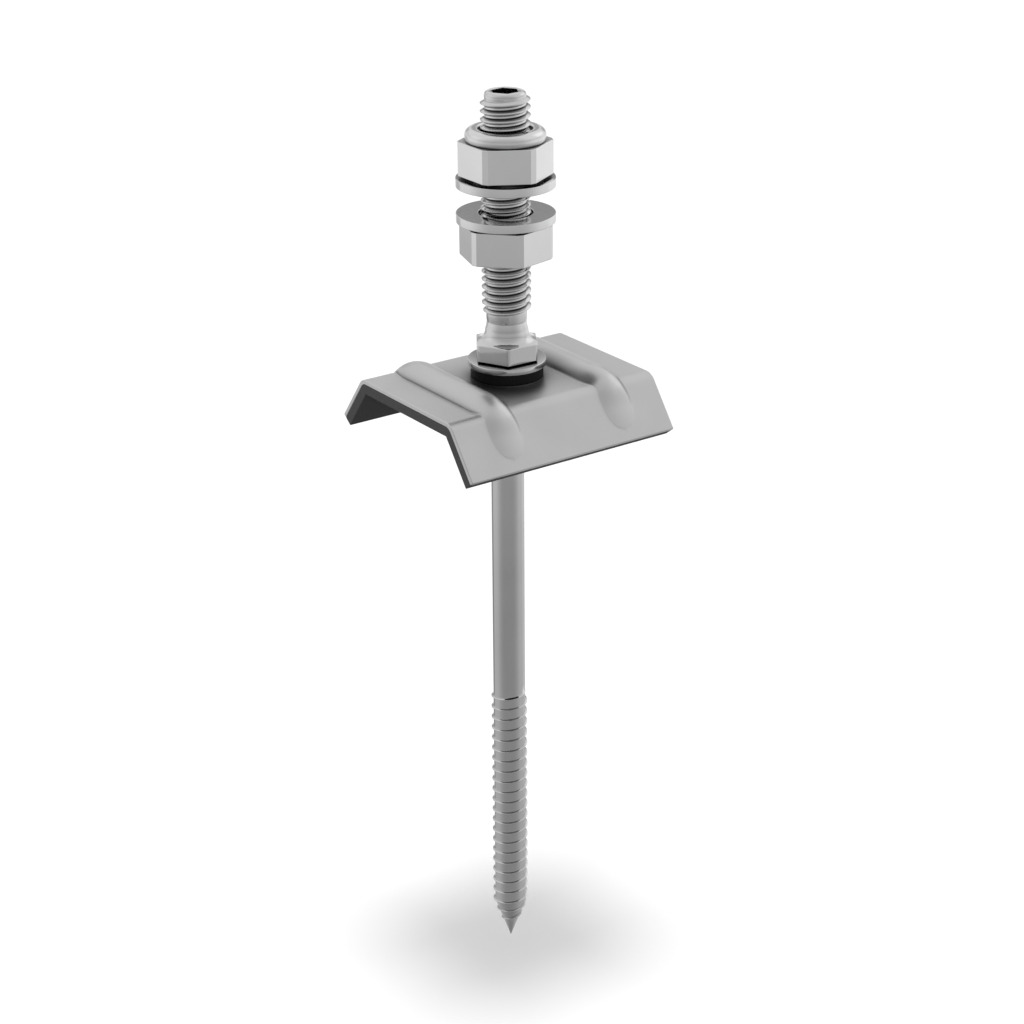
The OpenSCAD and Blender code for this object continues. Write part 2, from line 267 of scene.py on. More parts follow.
class Skin:
    """Closed surface of a piece, built up in rings of points, in millimetres."""

    def __init__(self):
        self.points = []
        self.faces = []
        # Painted shade at each point, which the saddle's material reads
        self.shade_marks = []

    def ring(self, points):
        """Adds points and gives their indices."""
        start = len(self.points)
        self.points.extend(points)
        return list(range(start, len(self.points)))

    def band(self, low, high):
        """Faces between two closed rings with as many points each."""
        count = len(low)
        for i in range(count):
            j = (i + 1) % count
            self.faces.append((low[i], low[j], high[j], high[i]))

    def cap(self, ring, flip=False):
        """One flat face over a ring."""
        self.faces.append(tuple(ring if flip else reversed(ring)))

    def close(self, first, last):
        """Flat faces over the first and last ring of a loft."""
        self.cap(first)
        self.cap(last, flip=True)

    def fan(self, ring, point, flip=False):
        """Triangles from a ring to a point."""
        centre = self.ring([point])[0]
        for i, here in enumerate(ring):
            there = ring[(i + 1) % len(ring)]
            self.faces.append((here, there, centre) if flip else (there, here, centre))

    def loft(self, rings):
        """Bands between rings of points, in order; gives the first and last ring."""
        made = [self.ring(points) for points in rings]
        for low, high in zip(made, made[1:]):
            self.band(low, high)
        return made[0], made[-1]

    def build(self, name):
        """Blender object of this surface, in metres; points that lie together are joined."""
        mesh = bpy.data.meshes.new(name)
        mesh.from_pydata([Vector(p) * MM for p in self.points], [], self.faces)
        if self.shade_marks:
            mesh.attributes.new("painted_shade", "FLOAT", "POINT").data.foreach_set("value", self.shade_marks)
        work = bmesh.new()
        work.from_mesh(mesh)
        bmesh.ops.remove_doubles(work, verts=work.verts, dist=MERGE * MM)
        bmesh.ops.dissolve_degenerate(work, edges=work.edges, dist=MERGE * MM)
        bmesh.ops.recalc_face_normals(work, faces=work.faces)
        work.to_mesh(mesh)
        work.free()
        return place_in_scene(name, mesh)


def settle(piece):
    """Applies a piece's modifiers."""
    bpy.context.view_layer.update()
    depsgraph = bpy.context.evaluated_depsgraph_get()
    mesh = bpy.data.meshes.new_from_object(piece.evaluated_get(depsgraph))
    piece.modifiers.clear()
    old = piece.data
    piece.data = mesh
    bpy.data.meshes.remove(old)


def shade(piece, sharp_angle=SHARP_ANGLE):
    """Smooth shading that keeps large faces flat and edges over the angle sharp."""
    piece.data.shade_smooth()
    piece.data.set_sharp_from_angle(angle=sharp_angle)
    piece.modifiers.new("normals", "WEIGHTED_NORMAL").keep_sharp = True
    settle(piece)


def around(count):
    """Evenly spaced angles around the screw."""
    return [TAU * i / count for i in range(count)]


def around_hexagon(turn, half_corner, steps):
    """Angles around a hexagon: both sides of each corner, then even steps between."""
    angles = []
    for k in range(6):
        first = turn + k * TAU / 6 + half_corner
        last = turn + (k + 1) * TAU / 6 - half_corner
        angles.extend(first + (last - first) * i / steps for i in range(steps + 1))
    return angles


def hexagon_r(angle, turn, apothem, corner=math.inf):
    """Radius of a hexagon at an angle; its corners are cut at the distance corner."""
    off = (angle - turn) % (TAU / 6)
    side = apothem / math.cos(off - TAU / 12)
    cut = corner / math.cos(min(off, TAU / 6 - off))
    return min(side, cut)


def circle(angles, r, z):
    """Ring of points; r and z are numbers or functions of the angle."""
    points = []
    for a in angles:
        r_here = r(a) if callable(r) else r
        z_here = z(a) if callable(z) else z
        points.append((r_here * math.cos(a), r_here * math.sin(a), z_here))
    return points


def arc(r_centre, z_centre, r, start, end, steps):
    """Points of an arc in the section, as radius and height; angles in degrees."""
    points = []
    for i in range(steps + 1):
        a = math.radians(start + (end - start) * i / steps)
        points.append((r_centre + r * math.cos(a), z_centre + r * math.sin(a)))
    return points


def mixed(a, b, share):
    """Value between a and b, by the share of b."""
    return a + (b - a) * share


def smooth_step(value):
    """0 below 0 and 1 above 1, with a soft change between."""
    value = min(1.0, max(0.0, value))
    return value * value * (3 - 2 * value)


def add_thread(skin, low_ring, high_ring, angles, profile, turns, pitch, start_z, radius):
    """Right-hand thread between two plain rings.

    profile holds the share of a turn at which each row of points lies, and
    radius(row, z) gives a row's radius, which is the rings' own at both ends.
    """
    count = len(angles)
    rows = len(profile)
    total = rows * turns + 1
    grid = []
    for row in range(total):
        lift = row // rows + profile[row % rows]
        points = []
        for a in angles:
            z = start_z + pitch * (lift + (a - angles[0]) / TAU)
            r = radius(row % rows, z)
            points.append((r * math.cos(a), r * math.sin(a), z))
        grid.append(skin.ring(points))
    last = count - 1
    for row in range(total - 1):
        for i in range(last):
            skin.faces.append((
                grid[row][i], grid[row][i + 1], grid[row + 1][i + 1], grid[row + 1][i],
            ))
        if row + 1 + rows < total:
            skin.faces.append((
                grid[row][last], grid[row + rows][0], grid[row + 1 + rows][0], grid[row + 1][last],
            ))
    for i in range(last):
        skin.faces.append((low_ring[i], low_ring[i + 1], grid[0][i + 1], grid[0][i]))
        skin.faces.append((grid[-1][i], grid[-1][i + 1], high_ring[i + 1], high_ring[i]))
    low_seam = [grid[row][0] for row in range(rows + 1)]
    skin.faces.append((low_ring[last], low_ring[0], *low_seam, grid[0][last]))
    high_seam = [grid[row][last] for row in range(total - 1, total - 2 - rows, -1)]
    skin.faces.append((grid[-1][0], high_ring[0], high_ring[last], *high_seam))


# Share of a turn at each point of the two thread profiles, whose crests lie at CREST,
# and its height from the root (0) to the crest (1)
CREST = 0.5
STUD_PROFILE = [
    (0.105, 0.00), (0.150, 0.07), (0.165, 0.12), (0.393, 0.88), (0.410, 0.935), (0.450, 1.00),
    (0.550, 1.00), (0.590, 0.935), (0.607, 0.88), (0.835, 0.12), (0.850, 0.07), (0.895, 0.00),
]
WOOD_PROFILE = [
    (0.379, 0.00), (0.3915, 0.07), (0.396, 0.12), (0.465, 0.88), (0.4705, 0.94), (0.482, 1.00),
    (0.518, 1.00), (0.5295, 0.94), (0.535, 0.88), (0.604, 0.12), (0.6085, 0.07), (0.621, 0.00),
]


def stud_body(z):
    """Radius of the stud without its thread: its core, then the rounded rim."""
    over = (z - SCREW_TOP + LEAD_ROUND) / LEAD_ROUND
    if over <= -1:
        return STUD_ROOT_R
    if over <= 0:
        return mixed(STUD_ROOT_R, LEAD_R, smooth_step(over + 1))
    return FACE_R + (LEAD_R - FACE_R) * math.sqrt(max(0.0, 1 - over * over))


def stud_radius(row, z):
    """Radius of the machine thread, which fades out at both of its ends."""
    crest_z = z + (CREST - STUD_PROFILE[row][0]) * STUD_PITCH
    fade = smooth_step((crest_z - STUD_LOW_Z) / STUD_LOW_FADE)
    fade *= smooth_step((STUD_HIGH_Z - z) / STUD_HIGH_FADE)
    return stud_body(z) + (STUD_R - STUD_ROOT_R) * STUD_PROFILE[row][1] * fade


def wood_core(z):
    """Radius of the wood thread's core, which narrows to the point."""
    return SHANK_R * min(1.0, (z - SCREW_TIP) / POINT_LENGTH)


def wood_radius(row, z):
    """Radius of the wood thread, which rises from the shank and narrows to the point."""
    crest_z = z + (CREST - WOOD_PROFILE[row][0]) * WOOD_PITCH
    rise_z = WOOD_START + WOOD_RISE_START * WOOD_PITCH
    rise = smooth_step((rise_z - crest_z) / (WOOD_RISE * WOOD_PITCH))
    over_tip = crest_z - SCREW_TIP
    end = mixed(TIP_CREST_SHARE, 1.0, min(1.0, over_tip / POINT_LENGTH))
    end *= smooth_step((over_tip - TIP_BARE) / TIP_RISE)
    return wood_core(z) + (WOOD_R - SHANK_R) * WOOD_PROFILE[row][1] * rise * end


def thread_start(crest_z, crest_angle, pitch, first_angle, lowest):
    """Height of a thread's first row at the first angle, over a lowest height.

    One crest of the thread passes the height crest_z at crest_angle.
    """
    z = crest_z - pitch * (CREST + (crest_angle - first_angle) / TAU)
    return z + pitch * math.ceil((lowest - z) / pitch)


def hex_foot_rings(angles):
    """Rings of the hollow fillet from the flare down to the hexagon, and of the hexagon.

    The fillet ends on the hexagon's sides where they cut it, and on its flat top
    near the corners.
    """
    height = FLARE_Z - HEX_TOP
    spread = FOOT_R - FLARE_R

    def side_r(a):
        return hexagon_r(a, HEX_TURN, HEX_FLATS / 2)

    def sweep_end(a, inset):
        end_r = min(side_r(a) - inset, FOOT_R)
        return math.acos((FOOT_R - end_r) / spread)

    def fillet_point(a, share, inset=HEX_EDGE):
        sweep = sweep_end(a, inset) * share
        return FOOT_R - spread * math.cos(sweep), FLARE_Z - height * math.sin(sweep)

    rings = []
    for step in range(1, FOOT_STEPS + 1):
        share = step / FOOT_STEPS
        rings.append(circle(
            angles, lambda a: fillet_point(a, share)[0], lambda a: fillet_point(a, share)[1]
        ))
    rings.append(circle(
        angles, lambda a: side_r(a) - HEX_EDGE, lambda a: fillet_point(a, 1)[1]
    ))
    rings.append(circle(angles, side_r, lambda a: fillet_point(a, 1, 0)[1] - HEX_EDGE))
    rings.append(circle(angles, side_r, HEX_LOW + HEX_EDGE))
    rings.append(circle(angles, lambda a: side_r(a) - HEX_EDGE, HEX_LOW))
    return rings


def add_point(skin, angles):
    """Point and wood thread; gives the shank's lowest ring."""
    tip_z = SCREW_TIP + TIP_RING
    tip_ring = skin.ring(circle(angles, wood_core(tip_z), tip_z))
    skin.fan(tip_ring, (0, 0, SCREW_TIP))
    profile = [share for share, _ in WOOD_PROFILE]
    low_z = thread_start(WOOD_START, WOOD_TURN, WOOD_PITCH, angles[0], tip_z + TIP_GAP)
    turns = math.ceil((WOOD_START + WOOD_PITCH - low_z) / WOOD_PITCH)
    shank_z = low_z + WOOD_PITCH * (turns + profile[0] + WOOD_TOP_GAP)
    shank_ring = skin.ring(circle(angles, SHANK_R, shank_z))
    add_thread(
        skin, tip_ring, shank_ring, angles, profile, turns, WOOD_PITCH, low_z, wood_radius
    )
    return shank_ring


def middle_rings(angles):
    """Rings of the shank, boss, hexagon, fillet, flare and neck, from below."""
    fillet_z = DISC_TOP - FILLET_HEIGHT
    section = [(SHANK_R, z) for z in SHANK_RINGS]
    section.extend((
        (SHANK_R, fillet_z - FILLET_START),
        (SHANK_R + FILLET_BEND, fillet_z),
        (SHANK_R + FILLET_WIDTH, DISC_TOP),
        (BOSS_R - BOSS_EDGE, DISC_TOP),
        (BOSS_R, DISC_TOP + BOSS_EDGE),
        (BOSS_R, HEX_LOW),
    ))
    rings = [circle(angles, r, z) for r, z in section]
    rings.extend(reversed(hex_foot_rings(angles)))
    rings.append(circle(angles, FLARE_R, FLARE_Z))
    rings.append(circle(angles, FLARE_ROUND_R, FLARE_Z + FLARE_ROUND))
    for step in range(1, NECK_STEPS + 1):
        share = step / NECK_STEPS
        rings.append(circle(
            angles,
            mixed(NECK_R, NECK_FOOT_R, (1 - share) ** NECK_BOW),
            mixed(FLARE_Z + FLARE_ROUND, NECK_Z, share),
        ))
    rings.append(circle(angles, STUD_ROOT_R, NECK_Z + NECK_END))
    return rings


def add_stud(skin, neck_ring, angles):
    """Machine thread and the core over its last turn; gives the rim's lowest ring."""
    profile = [share for share, _ in STUD_PROFILE]
    low_z = thread_start(STUD_PHASE, 0, STUD_PITCH, angles[0], NECK_Z + STUD_LOW_GAP)
    turns = math.floor((SCREW_TOP - STUD_HIGH_GAP - low_z) / STUD_PITCH) - 1

    def height(a, share):
        last_row_z = low_z + STUD_PITCH * (turns + profile[0] + (a - angles[0]) / TAU)
        return mixed(last_row_z, RIM_Z, share)

    core_ring, rim_ring = skin.loft([
        circle(angles, lambda a: stud_body(height(a, share)), lambda a: height(a, share))
        for share in UNDER_RIM
    ])
    add_thread(
        skin, neck_ring, core_ring, angles, profile, turns, STUD_PITCH, low_z, stud_radius
    )
    return rim_ring


def end_rings():
    """Rings over the rounded rim, across the end face and down into the socket."""
    angles = around_hexagon(SOCKET_TURN, HEX_CORNER, HEX_STEPS)

    def side_r(a):
        return hexagon_r(a, SOCKET_TURN, SOCKET_FLATS / 2)

    def edge_r(a):
        return hexagon_r(a, SOCKET_TURN, SOCKET_FLATS / 2 + SOCKET_EDGE)

    rings = []
    for step in range(1, RIM_STEPS + 1):
        z = mixed(RIM_Z, SCREW_TOP - FACE_FALL, math.sin(TAU / 4 * step / RIM_STEPS))
        rings.append(circle(angles, stud_body(z), z))
    floor_z = SCREW_TOP - SOCKET_DEPTH
    rings.append(circle(angles, edge_r, SCREW_TOP))
    rings.append(circle(angles, side_r, SCREW_TOP - SOCKET_EDGE))
    rings.append(circle(angles, side_r, floor_z))
    rings.append(circle(angles, SOCKET_FLOOR_R, floor_z))
    return rings


def make_screw():
    """Double-ended screw as one closed surface, from its point up to its socket."""
    skin = Skin()
    angles = around_hexagon(HEX_TURN, HEX_CORNER, HEX_STEPS)
    shank_ring = add_point(skin, angles)
    middle_ring, neck_ring = skin.loft(middle_rings(angles))
    skin.band(shank_ring, middle_ring)
    rim_ring = add_stud(skin, neck_ring, angles)
    end_ring, floor_ring = skin.loft(end_rings())
    skin.band(rim_ring, end_ring)
    skin.fan(floor_ring, (0, 0, SCREW_TOP - SOCKET_DEPTH - SOCKET_CONE), flip=True)
    piece = skin.build("screw")
    shade(piece, SCREW_SHARP_ANGLE)
    return piece


def nut_angles(turn):
    """Angles around a nut, with both edges of the bevel at each corner."""
    half = NUT_FLATS / 2
    corner = NUT_CORNERS / 2
    half_bevel = math.atan((half / corner - math.cos(TAU / 12)) / math.sin(TAU / 12))
    return around_hexagon(turn, half_bevel, NUT_STEPS)


def nut_side_rings(angles, turn, low_z, high_z):
    """Rings up a nut's sides, with rounded edges below and above."""
    turned = [math.radians(a) for a in (0, 30, 60, 90)]
    section = [(1 - math.sin(a), low_z + NUT_EDGE * (1 - math.cos(a))) for a in turned]
    section += [(1 - math.cos(a), high_z - NUT_EDGE * (1 - math.sin(a))) for a in turned]
    rings = []
    for share, z in section:
        half_flats = NUT_FLATS / 2 - NUT_EDGE * share
        half_corners = NUT_CORNERS / 2 - NUT_EDGE * share
        rings.append(circle(angles, lambda a: hexagon_r(a, turn, half_flats, half_corners), z))
    return rings


def closed_loft(name, rings):
    """Piece whose rings run around its whole section and meet again."""
    skin = Skin()
    first, last = skin.loft(rings)
    skin.band(last, first)
    piece = skin.build(name)
    shade(piece)
    return piece


def make_lower_nut():
    """Plain hexagon nut, with its round bearing face up against the washer."""
    angles = nut_angles(LOWER_NUT_TURN)
    bevel_r = NUT_BORE_R + NUT_BORE_BEVEL
    top = LOWER_WASHER_Z
    hex_top = top - NUT_FACE_GAP
    rings = [
        circle(angles, NUT_BORE_R, LOWER_NUT_Z + NUT_BORE_BEVEL),
        circle(angles, bevel_r, LOWER_NUT_Z),
        *nut_side_rings(angles, LOWER_NUT_TURN, LOWER_NUT_Z, hex_top),
        circle(angles, NUT_FACE_R, hex_top),
        circle(angles, NUT_FACE_R, top - NUT_FACE_EDGE),
        circle(angles, NUT_FACE_R - NUT_FACE_EDGE, top),
        circle(angles, bevel_r, top),
        circle(angles, NUT_BORE_R, top - NUT_BORE_BEVEL),
    ]
    return closed_loft("plain_nut", rings)


def collar_section():
    """Section of the lock nut's collar, as radius and height, from its foot inwards."""
    widest_z = LOCK_Z + LOCK_WIDEST
    crown = LOCK_TOP - LOCK_Z - LOCK_WIDEST
    section = [(LOCK_FOOT_R, LOCK_Z)]
    for step in range(1, LOCK_BULGE_STEPS + 1):
        a = math.radians(90 * step / LOCK_BULGE_STEPS)
        r = mixed(LOCK_BULGE_R, LOCK_R, math.sin(a))
        section.append((r, LOCK_Z + LOCK_WIDEST * (1 - math.cos(a))))
    for step in range(1, LOCK_CROWN_STEPS + 1):
        a = math.radians(90 * step / LOCK_CROWN_STEPS)
        section.append((mixed(LOCK_RIM_R, LOCK_R, math.cos(a)), widest_z + crown * math.sin(a)))
    section.extend(arc(LOCK_MOUTH_R + LOCK_LIP, LOCK_TOP - LOCK_LIP, LOCK_LIP, 90, 180, 4))
    return section


def make_upper_nut():
    """Lock nut: hexagon with a bearing face below and a round collar above."""
    angles = nut_angles(UPPER_NUT_TURN)
    hex_low = UPPER_NUT_Z + NUT_FACE_GAP
    bore_and_face = (
        (NUT_BORE_R, UPPER_NUT_Z + NUT_BORE_BEVEL),
        (NUT_BORE_R + NUT_BORE_BEVEL, UPPER_NUT_Z),
        (NUT_FACE_R - NUT_FACE_EDGE, UPPER_NUT_Z),
        (NUT_FACE_R, UPPER_NUT_Z + NUT_FACE_EDGE),
        (NUT_FACE_R, hex_low),
    )
    collar_and_groove = (
        *collar_section(),
        (LOCK_MOUTH_R, INSERT_TOP),
        (INSERT_R, INSERT_TOP),
        (INSERT_R, INSERT_Z),
        (NUT_BORE_R, INSERT_Z),
    )
    rings = [circle(angles, r, z) for r, z in bore_and_face]
    rings.extend(nut_side_rings(angles, UPPER_NUT_TURN, hex_low, LOCK_Z))
    rings.extend(circle(angles, r, z) for r, z in collar_and_groove)
    return closed_loft("lock_nut", rings)


def make_ring(name, low_z, high_z, hole_r, r, edge):
    """Flat ring around the screw, with rounded rims."""
    section = (
        *arc(hole_r + edge, low_z + edge, edge, 180, 270, EDGE_STEPS),
        *arc(r - edge, low_z + edge, edge, 270, 360, EDGE_STEPS),
        *arc(r - edge, high_z - edge, edge, 360, 450, EDGE_STEPS),
        *arc(hole_r + edge, high_z - edge, edge, 450, 540, EDGE_STEPS),
    )
    angles = around(RING_STEPS)
    return closed_loft(name, [circle(angles, r_at, z_at) for r_at, z_at in section])


def make_lower_washer():
    """Flat washer that lies on the lower nut."""
    top = LOWER_WASHER_Z + WASHER_T
    return make_ring("flat_washer", LOWER_WASHER_Z, top, WASHER_HOLE_R, WASHER_R, WASHER_EDGE)


def make_upper_washer():
    """Flat washer under the lock nut."""
    low = UPPER_NUT_Z - WASHER_T
    return make_ring("clamp_washer", low, UPPER_NUT_Z, WASHER_HOLE_R, WASHER_R, WASHER_EDGE)


def make_insert():
    """Nylon ring inside the lock nut's collar."""
    return make_ring("nylon_insert", INSERT_Z, INSERT_TOP, INSERT_HOLE_R, INSERT_R, INSERT_EDGE)


def make_seal_ring():
    """Rubber ring between the metal disc and the saddle."""
    return make_ring("rubber_seal", RING_Z, DISC_Z, RING_HOLE_R, RING_R, RING_EDGE)


def make_seal_disc():
    """Metal disc of the sealing washer, which falls a little to its rounded rim."""
    turn_r = DISC_R - DISC_EDGE
    section = (
        (DISC_HOLE_R, DISC_Z + DISC_BEVEL),
        (DISC_HOLE_R + DISC_BEVEL, DISC_Z),
        (DISC_SEAT_R, DISC_Z),
        *arc(turn_r, DISC_Z + DISC_EDGE, DISC_EDGE, -85, 0, EDGE_STEPS),
        *arc(turn_r, DISC_TOP - DISC_FALL - DISC_EDGE, DISC_EDGE, 0, 82, EDGE_STEPS),
        (DISC_FLAT_R, DISC_TOP),
        (DISC_HOLE_R + DISC_BEVEL, DISC_TOP),
        (DISC_HOLE_R, DISC_TOP - DISC_BEVEL),
    )
    angles = around(DISC_STEPS)
    return closed_loft("seal_disc", [circle(angles, r, z) for r, z in section])


# Saddle's section: places along it are measured from the middle of the top, along
# its outer face


def fold_start(depth, fold_r):
    """Distance from the middle to the start of the fold, for a layer under the outside."""
    tangent = math.tan(FOLD_ANGLE / 2)
    return HALF_WIDTH - depth * tangent - fold_r * tangent


def section_point(along, depth):
    """Point and outward direction of the saddle's section at a distance along its outer face.

    depth is how far the layer lies under the outer face, and is less than the fold's radius.
    """
    side = -1 if along < 0 else 1
    run = abs(along)
    flat = fold_start(0, FOLD_R)
    bend = FOLD_ANGLE * FOLD_R
    centre_z = SHEET_TOP - FOLD_R
    if run <= flat:
        y, z, tilt = run, SHEET_TOP, 0.0
    elif run <= flat + bend:
        tilt = (run - flat) / FOLD_R
        y = flat + FOLD_R * math.sin(tilt)
        z = centre_z + FOLD_R * math.cos(tilt)
    else:
        tilt = FOLD_ANGLE
        leg = run - flat - bend
        y = flat + FOLD_R * math.sin(tilt) + leg * math.cos(tilt)
        z = centre_z + FOLD_R * math.cos(tilt) - leg * math.sin(tilt)
    normal_y = math.sin(tilt)
    normal_z = math.cos(tilt)
    return side * (y - depth * normal_y), z - depth * normal_z, side * normal_y, normal_z


HALF_RUN = (
    fold_start(0, FOLD_R) + FOLD_ANGLE * FOLD_R
    + LEG_LENGTH - FOLD_R * math.tan(FOLD_ANGLE / 2)
)


def bead_distance(y, z):
    """Distance from a point of the section to the curved centre line of the beads."""
    centre_z = SHEET_TOP + BEAD_HEIGHT - BEAD_R
    bend = BEAD_ARC - BEAD_R
    if abs(y) <= BEAD_STRAIGHT:
        return abs(z - centre_z)
    return abs(math.hypot(abs(y) - BEAD_STRAIGHT, z - centre_z + bend) - bend)


def bead_reach(place, r):
    """Square of half a bead's width at its foot, negative where it has run out."""
    return r * r - bead_distance(*place[:2]) ** 2


def bead_outside(across, reach):
    """Distance from a bead's foot, negative inside it."""
    if reach > 0:
        return abs(across) - math.sqrt(reach)
    return math.sqrt(across * across - reach)


def leg_share(along):
    """How far along the legs' beads a place lies, from 0 at the fold to 1 at their ends."""
    return smooth_step((abs(along) - LEG_FADE_START) / LEG_FADE)


def on_leg_share(along):
    """0 on the top and 1 on the legs, with the change along the fold."""
    return smooth_step((abs(along) - HALF_WIDTH + FOLD_BLEND) / FOLD_BLEND)


def crisp_share(along, across, x):
    """How crisp a bead's foot is: on the top outside, on each leg on one side."""
    on_top = 0.0 if across * x < 0 else 1.0
    turned = 1.0 if across * along < 0 else 0.0
    return mixed(on_top, turned * math.sqrt(1 - leg_share(along)), on_leg_share(along))


def inner_foot_shade(along, across, x, outside):
    """Soft painted shade and painted reflection of the dark seal up the foot that faces the screw,
    wider towards the folds.
    """
    if across * x >= 0:
        return 0.0
    share = smooth_step(abs(along) / MARK_FULL_AT)
    width = MARK_OUTSIDE if outside > 0 else MARK_WIDTH * mixed(MARK_NARROW, 1.0, share)
    off = outside / width
    window = 1 - smooth_step((abs(along) - MARK_FADE_START) / MARK_FADE)
    return mixed(MARK_FAINT, MARK_STRONG, share) * math.exp(-off * off) * window


def crease_shade(along, outside, crisp):
    """Narrow painted shade along a bead's foot where it is crisp."""
    off = outside / mixed(CREASE_WIDTH, LEG_CREASE_WIDTH, on_leg_share(along))
    return CREASE_SHADE_STRENGTH * math.exp(-off * off) * crisp


def bead_height(place, across, r):
    """How far a bead of radius r stands over a place of the section inside its foot."""
    y, z, normal_y, normal_z = place
    low, high = 0.0, 2 * BEAD_HEIGHT
    for _ in range(BEAD_HALVINGS):
        middle = (low + high) / 2
        q = bead_distance(y + middle * normal_y, z + middle * normal_z)
        if q * q + across * across < r * r:
            low = middle
        else:
            high = middle
    return low


def bead_lift(place, along, across, r, outside, fillet):
    """How far the sheet stands over a layer there, with a fillet at the bead's foot."""
    raw = -BEAD_SLOPE * outside if outside > 0 else bead_height(place, across, r)
    lift = 0.5 * (raw + math.sqrt(raw * raw + fillet ** 2))
    if outside > 0:
        lift -= lift * smooth_step(outside / FOOT_FADE)
    return lift * mixed(1.0, LEG_BEAD_SHARE, leg_share(along))


def across_saddle(reach):
    """Places along the ridge, each with its distance from a bead's centre line."""
    width = math.sqrt(max(0.0, reach))
    eased = math.sqrt(width * width + EASED_WIDTH ** 2) if width < WIDE_BEAD else width
    feet = [-eased - d for d in reversed(BESIDE_FOOT)]
    feet.extend(eased * math.sin(math.radians(a)) for a in range(-90, 91, BEAD_STEP))
    feet.extend(eased + d for d in BESIDE_FOOT)
    left = [(f - BEAD_X, f) for f in feet]
    right = [(f + BEAD_X, f) for f in feet]
    end = SADDLE_END - SHEET_EDGE
    outer_xs = [mixed(-end, left[0][0], i / OUTER_STEPS) for i in range(OUTER_STEPS)]
    line = [(x, x + BEAD_X) for x in outer_xs]
    line.extend(left)
    for i in range(1, MIDDLE_STEPS):
        x = mixed(left[-1][0], right[0][0], i / MIDDLE_STEPS)
        line.append((x, x + BEAD_X if x < 0 else x - BEAD_X))
    line.extend(right)
    for i in range(1, OUTER_STEPS + 1):
        x = mixed(right[-1][0], end, i / OUTER_STEPS)
        line.append((x, x - BEAD_X))
    return line


def saddle_places():
    """Distances along the section, closer at the folds and on the legs' beads."""
    flat = fold_start(0, FOLD_R)
    bend = FOLD_ANGLE * FOLD_R
    leg = HALF_RUN - SHEET_EDGE - flat - bend
    places = [flat * i / TOP_STEPS for i in range(TOP_STEPS)]
    places.extend(flat + bend * i / FOLD_STEPS for i in range(FOLD_STEPS))
    places.extend(flat + bend + leg * i / LEG_STEPS for i in range(LEG_STEPS + 1))
    return [-p for p in reversed(places[1:])] + places


def saddle_line(along, depth, r, inset=0.0):
    """Points across the saddle on one of its faces, and the painted shade at each."""
    place = section_point(along, depth)
    reach = bead_reach(place, r)
    y, z, normal_y, normal_z = place
    points = []
    shade_marks = []
    for x, across in across_saddle(reach):
        outside = bead_outside(across, reach)
        crisp = crisp_share(along, across, x)
        fillet = mixed(BEAD_SOFT, BEAD_SHARP, crisp)
        lift = bead_lift(place, along, across, r, outside, fillet)
        points.append((x * (1 - inset / SADDLE_END), y + normal_y * lift, z + normal_z * lift))
        # Painted shade along the crisp feet and up the inner feet of the beads
        shade_marks.append(max(
            crease_shade(along, outside, crisp), inner_foot_shade(along, across, x, outside)
        ))
    return points, shade_marks


def saddle_ring(along, inset=0.0):
    """Ring of points around the sheet: outer face, end, inner face, end; and their painted shade.
    """
    outer, outer_shade = saddle_line(along, inset, BEAD_R, inset)
    inner, inner_face_shade = saddle_line(along, SHEET_T - inset, BEAD_R - SHEET_T, inset)

    def end_points(side):
        points = []
        for depth in (SHEET_EDGE, SHEET_T / 2, SHEET_T - SHEET_EDGE):
            y, z, _, _ = section_point(along, depth)
            points.append((side * (SADDLE_END - inset), y, z))
        return points

    right, left = end_points(1), end_points(-1)
    points = outer + right + inner[::-1] + left[::-1]
    unmarked = len(right) + len(inner_face_shade) + len(left)
    return points, outer_shade + [0.0] * unmarked


def cut_with(piece, tool, operation="DIFFERENCE"):
    """Applies an exact boolean to a piece and deletes the tool."""
    modifier = piece.modifiers.new("boolean", "BOOLEAN")
    modifier.operation = operation
    modifier.solver = "EXACT"
    modifier.object = tool
    settle(piece)
    bpy.data.objects.remove(tool)


def make_plug(name, r, low_z, high_z, count=PLUG_STEPS):
    """Plain round tool for a boolean."""
    angles = around(count)
    skin = Skin()
    skin.close(*skin.loft([circle(angles, r, low_z), circle(angles, r, high_z)]))
    return skin.build(name)


def make_saddle():
    """Pressed sheet with two hollow beads, a raised seat and the screw's hole."""
    lines = [saddle_ring(-HALF_RUN, SHEET_EDGE)]
    lines.extend(saddle_ring(along) for along in saddle_places())
    lines.append(saddle_ring(HALF_RUN, SHEET_EDGE))
    skin = Skin()
    for _, shade_marks in lines:
        skin.shade_marks.extend(shade_marks)
    skin.close(*skin.loft([points for points, _ in lines]))
    piece = skin.build("roof_saddle")
    seat = make_plug("seat_tool", SEAT_R, SEAT_FOOT_Z, RING_Z, SEAT_STEPS)
    cut_with(piece, seat, "UNION")
    cut_with(piece, make_plug("hole_tool", SHEET_HOLE_R, -PLUG_REACH, RING_Z + PLUG_REACH))
    shade(piece)
    return piece


def lining_outline(inset):
    """Outline of the lining's section, shrunk by an inset: outer face, then inner face."""
    outer_depth = SHEET_T + inset
    fold_r = FOLD_R - outer_depth
    flat = fold_start(outer_depth, fold_r)
    foot = HALF_RUN - inset
    half = []
    for i in range(LINING_FOLD_STEPS + 1):
        tilt = FOLD_ANGLE * i / LINING_FOLD_STEPS
        half.append((
            flat + fold_r * math.sin(tilt),
            SHEET_TOP - outer_depth - fold_r * (1 - math.cos(tilt)),
        ))
    half.append(section_point(foot, outer_depth)[:2])
    inner_depth = SHEET_TOP - inset
    y, z, normal_y, normal_z = section_point(foot, 0)
    half.append((y - normal_y * inner_depth, z - normal_z * inner_depth))
    half.append((HALF_WIDTH - inner_depth * math.tan(FOLD_ANGLE / 2), inset))
    return half + [(-y, z) for y, z in reversed(half)]


